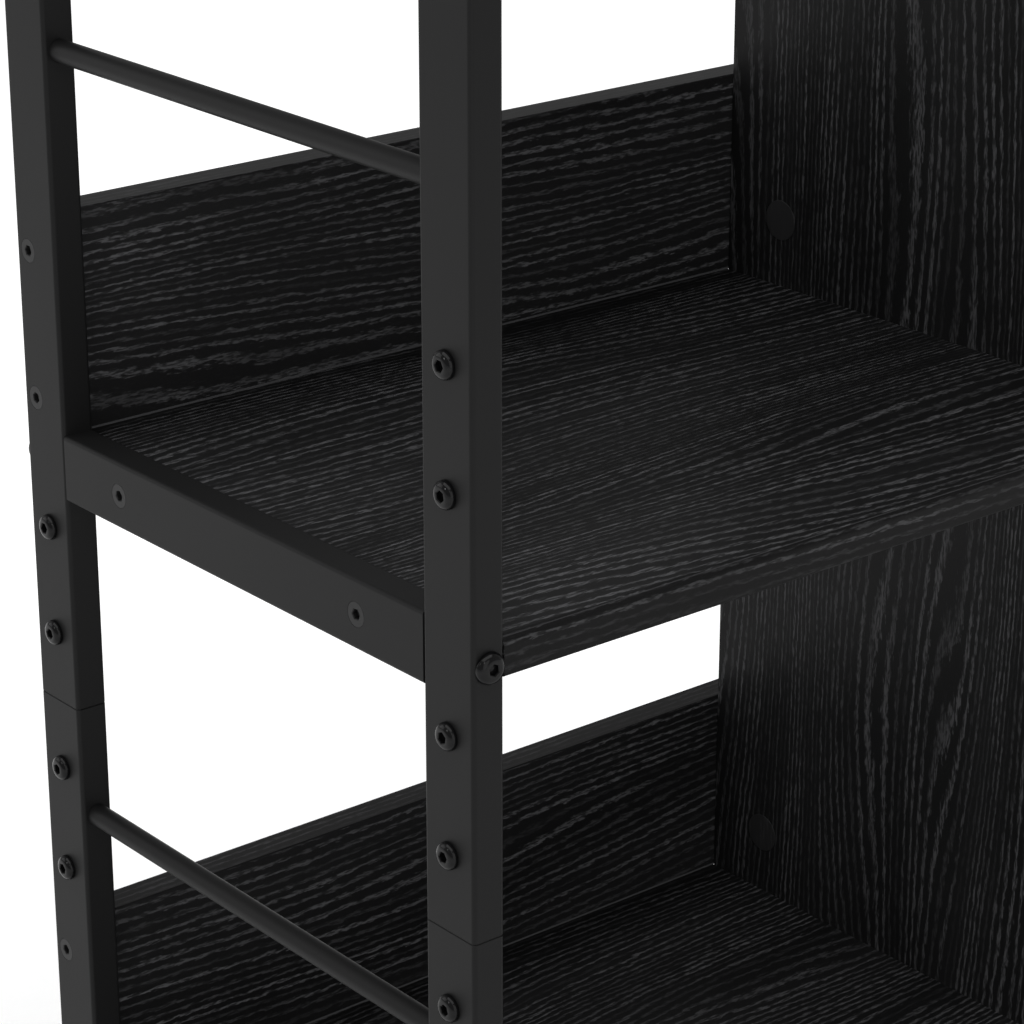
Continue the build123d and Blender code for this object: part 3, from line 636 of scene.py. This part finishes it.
# ---- Finishes of the CAD nodes ------------------------------------------------------------------
class BOOKCASE_OT_steel(bpy.types.Operator):
    """Powder-coat the posts, rails, guards and wall brackets and plate the inner fittings"""

    bl_idname = "bookcase.steel"
    bl_label = "Steel frame"

    def execute(self, context):
        made = context.scene.bookcase_steel
        coat = fine_finish(
            "Powder coat",
            made.coat,
            grain_size=made.grain / MM,
            roughness=made.gloss,
            variation=0.10,
            bump=(0.02 * MM, 0.35),
            shader={"Specular IOR Level": made.sheen},
        )
        zinc = fine_finish(
            "Zinc plate",
            made.inner,
            grain_size=2.2,
            roughness=0.34,
            variation=0.35,
            bump=(0.01 * MM, 0.3),
            shader={"Metallic": 1.0},
        )
        coated = [name for name in NODES if "_post_" in name or "_rail_" in name or "_rod_" in name]
        for name in coated + ["wall_brackets"]:
            paint(NODES[name], coat)
        for name in ("post_sleeves", "rail_end_plates", "threaded_inserts"):
            paint(NODES[name], zinc)
        return {"FINISHED"}


class BOOKCASE_OT_oak(bpy.types.Operator):
    """Give every board black open-pored oak with its own piece of the figure"""

    bl_idname = "bookcase.oak"
    bl_label = "Black oak boards"

    def execute(self, context):
        made = context.scene.bookcase_oak
        values = {
            "Ring Spacing": made.spacing / MM,
            "Figure": made.figure / MM,
            "Pore Contrast": PORE_CONTRAST,
        }
        fixings = ("shelf_pins", "shelf_screws")
        boards = sorted(name for name in NODES if "shelf_" in name and name not in fixings)
        boards += ["top_shelf", "divider"] + sorted(name for name in NODES if "back_strip" in name)
        shader = {"Specular IOR Level": made.sheen}
        bump = (0.12 * MM, 0.5)
        for number, name in enumerate(boards):
            upright = name == "divider"
            turn = UPRIGHT_TURN if upright else None
            shift = BOARD_SHIFT * number
            strip = "strip" in name
            values["Edge Facing"] = (0.0, 0.0, 1.0) if strip else (0.0, 1.0, 0.0)
            # Painted shade on the lit edge bands: stronger on the shelves' front edges than on the
            # strips' top edges.
            values["Edge Tone"] = STRIP_EDGE_SHADE if strip else BOARD_EDGE_SHADE
            values["Ground"] = opaque(Vector(made.ground) * (DIVIDER_GROUND if upright else 1.0))
            values["Streak"] = opaque(Vector(made.streak) * (DIVIDER_STREAK if upright else 1.0))
            low_edge = (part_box(name)[0].z + shift.z) / MM
            # Back strips get a painted highlight line just above their low edge.
            values["Lip Height"] = low_edge + STRIP_JUNCTION_HIGHLIGHT if strip else NO_JUNCTION_HIGHLIGHT
            oak = principled(f"Oak {name}", "Open Grain", values, bump, shader, turn, shift)
            paint(NODES[name], oak)
        return {"FINISHED"}


class BOOKCASE_OT_trim(bpy.types.Operator):
    """Finish the plastic caps, plugs and glides, the dowels and the hidden screws"""

    bl_idname = "bookcase.trim"
    bl_label = "Trim and hidden fittings"

    def execute(self, context):
        feet = context.scene.bookcase_foot
        steel = context.scene.bookcase_steel
        plastic = fine_finish(
            "Black plastic",
            feet.plastic,
            grain_size=0.35,
            roughness=0.52,
            variation=0.16,
            bump=(0.03 * MM, 0.4),
        )
        for name in ("post_caps", "foot_plugs", "divider_glides"):
            paint(NODES[name], plastic)
        beech_values = {
            "Ring Spacing": 1.1,
            "Figure": 3.0,
            "Ground": (0.55, 0.36, 0.2, 1.0),
            "Streak": (0.36, 0.2, 0.1, 1.0),
            "Pore Contrast": 0.5,
        }
        bump = (0.05 * MM, 0.3)
        beech = principled("Beech", "Open Grain", beech_values, bump, turn=UPRIGHT_TURN)
        paint(NODES["top_dowels"], beech)
        bright = fine_finish(
            "Screw zinc",
            steel.inner,
            grain_size=1.4,
            roughness=0.38,
            variation=0.3,
            bump=(0.01 * MM, 0.3),
            shader={"Metallic": 1.0},
        )
        for name in ("divider_screws", "bracket_screws"):
            paint(NODES[name], bright)
        return {"FINISHED"}


# ---- Fasteners ----------------------------------------------------------------------------------
def hex_socket(top, made):
    """Rings from a head's flat top down a hexagonal socket to its drill point."""
    apothem = made.socket / 2
    floor = top - made.socket_depth
    lip = 0.34 * MM
    drilled = apothem * 0.9
    drill_tip = apothem * 0.2
    drill_depth = 0.5 * MM
    return [
        hexagon(apothem + lip, top),
        hexagon(apothem, top - lip),
        hexagon(apothem, floor),
        ring(drilled, floor),
        ring(drill_tip, floor - drill_depth),
    ]


def domed_bolt(radius, height, shank, made):
    """Rings of a domed hex-socket bolt whose head stands on z = 0."""
    rim = 0.7 * MM
    edge = 0.2 * MM
    point = 0.6 * MM
    thread_end = -2.0 * MM
    shoulder = -1.6 * MM
    socket_corner = made.socket / 2 / math.cos(math.pi / 6)
    flat = max(radius * 0.5, socket_corner + 0.5 * MM)
    rings = [ring(made.bolt_core * 0.8, -shank)]
    rings += thread(made.bolt_core, made.bolt_crest, made.bolt_pitch, -shank + point, thread_end)
    rings += [ring(made.bolt_crest, shoulder), ring(made.bolt_crest, 0.0)]
    rings += [ring(radius - edge, 0.0), ring(radius, edge), ring(radius, rim)]
    rings += [ring(r, z) for r, z in quarter_round((radius, rim), (flat, height), 8)]
    rings += [ring(flat, height)]
    return rings + hex_socket(height, made)


def countersunk_screw(radius, depth, shank, made):
    """Rings of a flat-headed hex-socket wood screw whose head ends at z = 0."""
    edge = 0.22 * MM
    taper = 6.0 * MM
    thread_end = -depth - 4.0 * MM
    shoulder = -depth - 3.0 * MM
    rings = thread(
        made.screw_core, made.screw_crest, made.screw_pitch, -shank, thread_end, taper=taper
    )
    rings += [ring(made.screw_crest, shoulder), ring(made.screw_crest, -depth)]
    rings += [ring(radius, -edge), ring(radius - edge, 0.0)]
    return rings + hex_socket(0.0, made)


def outward(low, high, axis, seat):
    """Seat point, direction and shank length of a fastener whose head faces outwards."""
    middle = (low + high) / 2
    sign = 1.0 if middle[axis] > 0 else -1.0
    spot = middle.copy()
    spot[axis] = sign * seat
    direction = Vector((0, 0, 0))
    direction[axis] = sign
    inner = low[axis] if sign > 0 else high[axis]
    return spot, direction, abs(seat - abs(inner))


def fastener_group(name, node_name, axis, seat, rings_for, material):
    """One piece with a detailed copy of every fastener in a CAD node."""
    mesh = bmesh.new()
    for number, (low, high) in enumerate(solids(node_name)):
        spot, direction, shank = outward(low, high, axis, seat)
        across = (axis + 1) % 3
        radius = (high - low)[across] / 2
        proud = max(abs(low[axis]), abs(high[axis])) - seat
        rings = rings_for(radius, proud, shank)
        skin(mesh, rings, facing(spot, direction, number * SOCKET_TURN))
    return finish_piece(name, mesh, material, ROOT_BODY, [node_name])


class BOOKCASE_OT_bolts(bpy.types.Operator):
    """Make the domed hex-socket bolts of the posts and rails"""

    bl_idname = "bookcase.bolts"
    bl_label = "Domed bolts"

    def execute(self, context):
        made = context.scene.bookcase_fastener
        oxide = fine_finish(
            "Black oxide",
            made.oxide,
            grain_size=0.8,
            roughness=0.13,
            variation=0.2,
            bump=(0.01 * MM, 0.25),
            shader={"Specular IOR Level": 0.14},
        )

        def bolt(radius, proud, shank):
            return domed_bolt(radius, proud, shank, made)

        fastener_group("button_bolts", "post_bolts", 0, OUTER_FACE, bolt, oxide)
        fastener_group("domed_bolts", "rail_bolts", 1, BACK_FACE, bolt, oxide)
        return {"FINISHED"}


class BOOKCASE_OT_screws(bpy.types.Operator):
    """Make the countersunk screws of the shelves and back strips"""

    bl_idname = "bookcase.screws"
    bl_label = "Flush screws"

    def execute(self, context):
        made = context.scene.bookcase_fastener
        black = fine_finish(
            "Black screw",
            made.flush,
            grain_size=0.7,
            roughness=0.34,
            variation=0.2,
            bump=(0.01 * MM, 0.25),
            shader={"Specular IOR Level": 0.12},
        )
        head_depth = 2.8 * MM

        def screw(radius, _proud, shank):
            return countersunk_screw(radius, head_depth, shank, made)

        strip_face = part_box("back_strip_lower")[1].y
        for name, node_name, axis, seat in (
            ("shelf_screw_set", "shelf_screws", 0, OUTER_FACE),
            ("strip_screw_set", "strip_screws", 0, OUTER_FACE),
            ("strip_back_screw_set", "strip_back_screws", 1, strip_face),
        ):
            fastener_group(name, node_name, axis, seat, screw, black)
        return {"FINISHED"}


class BOOKCASE_OT_covers(bpy.types.Operator):
    """Make the thin round covers over the screws in the divider"""

    bl_idname = "bookcase.covers"
    bl_label = "Cover caps"

    def execute(self, context):
        made = context.scene.bookcase_fastener
        values = {
            "Ring Spacing": 2.4,
            "Figure": 20.0,
            "Ground": opaque(made.vinyl),
            "Streak": opaque(Vector(made.vinyl) * 1.5),
            "Pore Contrast": 0.6,
        }
        shader = {"Specular IOR Level": 0.3}
        bump = (0.02 * MM, 0.3)
        vinyl = principled("Cover vinyl", "Open Grain", values, bump, shader, UPRIGHT_TURN)
        crown = 0.12 * MM
        crown_shares = (0.94, 0.7, 0.4, 0.1)  # of the radius, at the rings of the crown
        crown_power = 4  # the crown is flat in the middle and falls off at the rim
        mesh = bmesh.new()
        for low, high in solids("cover_caps"):
            spot, direction, _ = outward(low, high, 0, DIVIDER_FACE)
            thick = high.x - low.x
            radius = (high.z - low.z) / 2
            rim = thick - 2 * crown
            rings = [ring(radius - crown, 0.0), ring(radius, crown), ring(radius, rim)]
            shoulder_end = (radius - 2 * crown, thick - crown)
            rings += [ring(r, z) for r, z in quarter_round((radius, rim), shoulder_end, 4)]
            for share in crown_shares:
                rings += [ring(radius * share, thick - crown * share ** crown_power)]
            skin(mesh, rings, facing(spot, direction))
        finish_piece("screw_covers", mesh, vinyl, ROOT_BODY, ["cover_caps"])
        return {"FINISHED"}


class BOOKCASE_OT_pins(bpy.types.Operator):
    """Make the shelf pins: a ribbed spigot, a collar and a rounded tongue"""

    bl_idname = "bookcase.pins"
    bl_label = "Shelf pins"

    def execute(self, context):
        steel = context.scene.bookcase_steel
        nickel = fine_finish(
            "Pin nickel",
            steel.inner,
            grain_size=1.2,
            roughness=0.3,
            variation=0.25,
            bump=(0.01 * MM, 0.25),
            shader={"Metallic": 1.0},
        )
        mesh = bmesh.new()
        spigot = 2.5 * MM
        collar = 0.6 * MM
        point = 0.7 * MM
        first_groove = 2.2 * MM
        groove_step = 1.6 * MM
        groove_half = 0.4 * MM
        tongue = 3.0 * MM
        tongue_share = 0.78  # of the collar's width
        collar_round = 0.22 * MM
        tongue_round = 0.9 * MM
        bay_middle = (DIVIDER_FACE + BAY_FACE) / 2
        for low, high in solids("shelf_pins"):
            middle = (low + high) / 2
            on_divider = middle.x < bay_middle
            seat = DIVIDER_FACE if on_divider else BAY_FACE
            way = 1.0 if on_divider else -1.0
            depth = seat - low.x if on_divider else high.x - seat
            reach = high.x - seat if on_divider else seat - low.x
            axis_height = high.z - spigot
            spot = Vector((seat, middle.y, axis_height))
            rings = [ring(spigot * 0.75, -depth), ring(spigot, -depth + point)]
            for groove in range(3):
                mid = -depth + first_groove + groove_step * groove
                rings += [ring(spigot, mid - groove_half)]
                rings += [ring(spigot * 0.9, mid)]
                rings += [ring(spigot, mid + groove_half)]
            rings += [ring(spigot, collar)]
            skin(mesh, rings, facing(spot, (way, 0, 0)))
            width = high.y - low.y
            for far, wide, base, round_off in (
                (collar, width, low.z, collar_round),
                (reach, width * tongue_share, high.z - tongue, tongue_round),
            ):
                block = bmesh.ops.create_cube(mesh, size=1.0)["verts"]
                centre = Vector((seat + way * far / 2, middle.y, (base + high.z) / 2))
                size = Vector((far, wide, high.z - base))
                for corner in block:
                    corner.co = centre + Vector(a * b for a, b in zip(corner.co, size))
                edges = list(dict.fromkeys(edge for corner in block for edge in corner.link_edges))
                bmesh.ops.bevel(
                    mesh, geom=edges, offset=round_off, segments=3, profile=0.5, affect="EDGES"
                )
        finish_piece("pin_set", mesh, nickel, ROOT_BODY, ["shelf_pins"])
        return {"FINISHED"}


class BOOKCASE_OT_feet(bpy.types.Operator):
    """Make the four levelling feet with grip ribs and threaded stems"""

    bl_idname = "bookcase.feet"
    bl_label = "Levelling feet"

    def execute(self, context):
        made = context.scene.bookcase_foot
        plastic = fine_finish(
            "Foot plastic",
            made.plastic,
            grain_size=0.4,
            roughness=0.5,
            variation=0.16,
            bump=(0.03 * MM, 0.4),
        )
        plug_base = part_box("foot_plugs")[0].z
        neck_top = plug_base - 0.3 * MM
        neck_base = (7.0 * MM, 7.0 * MM)  # radius and height
        grip = (1.1 * MM, 4.0 * MM)  # heights of the ribs' ends
        feet = [name for name in NODES if name.startswith("foot_") and name != "foot_plugs"]
        for name in sorted(feet):
            low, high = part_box(name)
            centre = Vector(((low.x + high.x) / 2, (low.y + high.y) / 2, low.z))
            radius = (high.x - low.x) / 2
            pad = [(radius * 0.5, 0.5 * MM), (radius * 0.55, 0.0)]
            pad += [(radius - 0.8 * MM, 0.0), (radius - 0.2 * MM, 0.5 * MM)]
            rings = [ring(r, z, FOOT_SEGMENTS) for r, z in pad]
            for height in grip:
                ribbed = []
                for point in ring(radius, height, FOOT_SEGMENTS):
                    angle = math.atan2(point.y, point.x)
                    groove = made.rib_depth * (0.5 - 0.5 * math.cos(made.ribs * angle))
                    share = (radius - groove) / radius
                    ribbed.append(Vector((point.x * share, point.y * share, height)))
                rings.append(ribbed)
            neck = [(radius - 0.7 * MM, 4.5 * MM)]
            neck += slope((radius - 0.9 * MM, 4.7 * MM), neck_base, 4)
            neck += [neck_base, (6.6 * MM, neck_top - 0.3 * MM)]
            neck += [(6.3 * MM, neck_top), (made.stem_core, neck_top)]
            rings += [ring(r, z, FOOT_SEGMENTS) for r, z in neck]
            rings += thread(
                made.stem_core,
                made.stem_crest,
                made.stem_pitch,
                neck_top + 0.3 * MM,
                high.z - low.z - 0.8 * MM,
                FOOT_SEGMENTS,
            )
            rings += [ring(made.stem_core * 0.85, high.z - low.z, FOOT_SEGMENTS)]
            mesh = bmesh.new()
            skin(mesh, rings, Matrix.Translation(centre))
            side_end = name.removeprefix("foot_")
            finish_piece(f"levelling_foot_{side_end}", mesh, plastic, name, [name])
        return {"FINISHED"}


# ---- Stage --------------------------------------------------------------------------------------
PANELS = (  # name and power setting, place, aim and width in metres
    ("overhead", (-0.6, -0.3, 3.7), (-0.6, -0.3, 0.0), 4.0),
    ("fill", (-1.2, -4.0, 1.9), (0.0, 0.0, 0.7), 3.2),
    ("side", (-3.2, 0.2, 2.4), (-0.2, 0.0, 0.7), 0.28),
    ("rear", (-2.7, 2.9, 2.2), (-0.3, 0.0, 0.8), 2.4),
    ("key", (-2.3, -2.7, 3.2), (-0.3, 0.0, 0.8), 0.25),
)
FAR_GLOW = (7.0, 0.12)  # metres away, and the last bit of glow that the floor gains up to there


def panel_light(name, spot, target, size, power):
    """A square softbox that shines at a point."""
    light = bpy.data.lights.new(name, "AREA")
    light.shape = "SQUARE"
    light.size = size
    light.energy = power
    holder = bpy.data.objects.new(name, light)
    holder.location = spot
    aim = Vector(target) - Vector(spot)
    holder.rotation_euler = aim.to_track_quat("-Z", "Y").to_euler()
    holder.visible_camera = False
    bpy.context.scene.collection.objects.link(holder)
    return holder


class BOOKCASE_OT_stage(bpy.types.Operator):
    """Set the pale floor, the soft lights and the camera"""

    bl_idname = "bookcase.stage"
    bl_label = "Floor, lights and camera"

    def execute(self, context):
        made = context.scene.bookcase_stage
        mesh = bmesh.new()
        bmesh.ops.create_grid(mesh, x_segments=8, y_segments=8, size=made.floor_size / 2)
        data = bpy.data.meshes.new("floor")
        mesh.to_mesh(data)
        mesh.free()
        floor = bpy.data.objects.new("floor", data)
        context.scene.collection.objects.link(floor)
        pale = fine_finish(
            "Pale floor",
            made.floor,
            grain_size=4.0,
            roughness=0.9,
            variation=0.02,
            bump=(0.1 * MM, 0.1),
            shader={"Specular IOR Level": 0.0, "Emission Strength": 1.0},
        )
        tree = pale.node_tree
        spot = node(tree, "ShaderNodeTexCoord").outputs["Object"]
        away = node(tree, "ShaderNodeVectorMath", {0: spot}, operation="LENGTH").outputs["Value"]
        glow = smooth_range(tree, away, made.glow_start, made.glow_full, 0.0, made.glow)
        far = smooth_range(tree, away, made.glow_full, FAR_GLOW[0], 0.0, FAR_GLOW[1])
        glow = maths(tree, "ADD", glow, far)
        tree.links.new(glow, tree.nodes["Principled BSDF"].inputs["Emission Color"])
        paint(floor, pale)

        world = bpy.data.worlds.new("Studio")
        world.use_nodes = True
        tree = world.node_tree
        background = tree.nodes["Background"]
        seen = node(tree, "ShaderNodeBackground", {"Color": grey(1.0), "Strength": 1.0})
        background.inputs["Color"].default_value = grey(1.0)
        background.inputs["Strength"].default_value = made.ambient
        rays = node(tree, "ShaderNodeLightPath")
        blend = node(tree, "ShaderNodeMixShader", {0: rays.outputs["Is Camera Ray"]})
        tree.links.new(background.outputs[0], blend.inputs[1])
        tree.links.new(seen.outputs[0], blend.inputs[2])
        tree.links.new(blend.outputs[0], tree.nodes["World Output"].inputs["Surface"])
        context.scene.world = world

        for name, spot, target, size in PANELS:
            panel_light(name, spot, target, size, getattr(made, name))

        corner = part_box("left_front_post_upper")[0]
        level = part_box("left_shelf_middle")[1].z
        camera = bpy.data.objects.new("camera", bpy.data.cameras.new("camera"))
        camera.data.lens = made.lens
        camera.data.sensor_width = 36.0
        camera.data.clip_end = 100.0
        camera.location = Vector((corner.x, corner.y, level)) + Vector(made.offset)
        camera.rotation_euler = (math.pi / 2 - made.tilt, 0.0, -made.heading)
        context.scene.collection.objects.link(camera)
        context.scene.camera = camera
        context.scene.view_settings.view_transform = "Standard"
        context.scene.view_settings.look = "None"
        return {"FINISHED"}


# ---- Add-on -------------------------------------------------------------------------------------
SETTINGS = {
    "bookcase_steel": SteelSettings,
    "bookcase_oak": OakSettings,
    "bookcase_fastener": FastenerSettings,
    "bookcase_foot": FootSettings,
    "bookcase_stage": StageSettings,
}
OPERATORS = (
    BOOKCASE_OT_steel,
    BOOKCASE_OT_oak,
    BOOKCASE_OT_trim,
    BOOKCASE_OT_bolts,
    BOOKCASE_OT_screws,
    BOOKCASE_OT_covers,
    BOOKCASE_OT_pins,
    BOOKCASE_OT_feet,
    BOOKCASE_OT_stage,
)


class BOOKCASE_PT_panel(bpy.types.Panel):
    """Lists the steps and their settings in the sidebar"""

    bl_idname = "BOOKCASE_PT_panel"
    bl_label = "Bookcase"
    bl_space_type = "VIEW_3D"
    bl_region_type = "UI"
    bl_category = "Bookcase"

    def draw(self, context):
        layout = self.layout
        for operator in OPERATORS:
            layout.operator(operator.bl_idname)
        for name, group in SETTINGS.items():
            box = layout.box()
            for prop in group.__annotations__:
                box.prop(getattr(context.scene, name), prop)


def register():
    """Register the settings, operators and panel."""
    for group in SETTINGS.values():
        bpy.utils.register_class(group)
    for operator in OPERATORS:
        bpy.utils.register_class(operator)
    bpy.utils.register_class(BOOKCASE_PT_panel)
    for name, group in SETTINGS.items():
        setattr(bpy.types.Scene, name, bpy.props.PointerProperty(type=group))


def unregister():
    """Take back what register() made."""
    for name in SETTINGS:
        delattr(bpy.types.Scene, name)
    bpy.utils.unregister_class(BOOKCASE_PT_panel)
    for operator in reversed(OPERATORS):
        bpy.utils.unregister_class(operator)
    for group in SETTINGS.values():
        bpy.utils.unregister_class(group)


def main():
    """Run every step in order."""
    register()
    for step in ("steel", "oak", "trim", "bolts", "screws", "covers", "pins", "feet", "stage"):
        getattr(bpy.ops.bookcase, step)()


if __name__ == "__main__":
    main()
